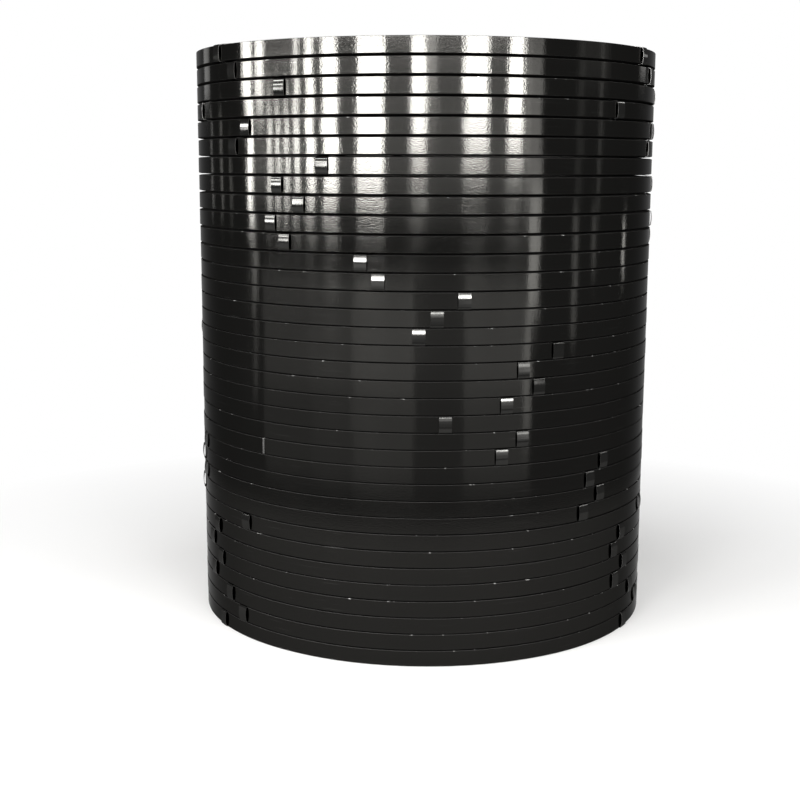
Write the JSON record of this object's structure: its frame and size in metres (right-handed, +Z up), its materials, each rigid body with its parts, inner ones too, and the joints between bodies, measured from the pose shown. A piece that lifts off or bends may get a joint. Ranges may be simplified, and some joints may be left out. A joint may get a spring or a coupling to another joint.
{
  "type": "slit steel coil",
  "caption": "Slit coil of black steel strip: narrow wound rings of one size stacked eye to sky, each held by strap ties round its section, with one bore through the stack for a mandrel.",
  "frame": {"origin": "centre of the stack's footprint on the floor, on the bore axis", "axes": "+Z up along the bore axis, -Y towards the front, +X to the right seen from the front"},
  "size_m": [0.5115, 0.5116, 0.6241],
  "materials": {
    "black_strip": "polished, blue-black oxide",
    "tie_strap": "polished, black lacquer worn at the bends"
  },
  "bodies": {
    "root": {"coil_01": "black_strip", "coil_02": "black_strip", "coil_03": "black_strip", "coil_04": "black_strip", "coil_05": "black_strip", "coil_06": "black_strip", "coil_07": "black_strip", "coil_08": "black_strip", "coil_09": "black_strip", "coil_10": "black_strip", "coil_11": "black_strip", "coil_12": "black_strip", "coil_13": "black_strip", "coil_14": "black_strip", "coil_15": "black_strip", "coil_16": "black_strip", "coil_17": "black_strip", "coil_18": "black_strip", "coil_19": "black_strip", "coil_20": "black_strip", "coil_21": "black_strip", "coil_22": "black_strip", "coil_23": "black_strip", "coil_24": "black_strip", "coil_25": "black_strip", "coil_26": "black_strip", "coil_27": "black_strip", "coil_28": "black_strip", "coil_29": "black_strip", "coil_30": "black_strip", "coil_31": "black_strip", "coil_32": "black_strip", "coil_33": "black_strip", "coil_34": "black_strip", "coil_35": "black_strip", "base_ties": "tie_strap", "tie_row_1": "tie_strap", "tie_row_2": "tie_strap", "tie_row_3": "tie_strap"}
  },
  "joints": []
}
